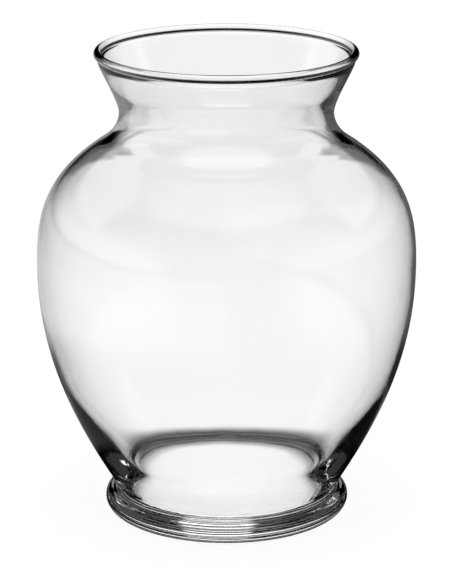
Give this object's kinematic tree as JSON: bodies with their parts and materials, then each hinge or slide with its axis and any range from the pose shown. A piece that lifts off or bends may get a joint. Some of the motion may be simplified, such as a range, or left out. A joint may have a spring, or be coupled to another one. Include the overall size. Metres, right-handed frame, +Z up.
{
  "type": "ginger jar vase",
  "caption": "Clear glass ginger jar vase with a flared round mouth, pinched neck, round belly tapering down to a grooved, beaded foot; holds cut flowers in water.",
  "frame": {"origin": "centre of the foot, on the plane of the flat bearing ring that the vase stands on", "axes": "+Z up along the vase's axis of revolution, out of the mouth; X and Y are any two square directions across it"},
  "size_m": [0.163, 0.163, 0.2035],
  "materials": {
    "clear_glass": "fire-polished, clear, very slightly wavy inside"
  },
  "bodies": {
    "root": {"glass_vase": "clear_glass"}
  },
  "joints": []
}
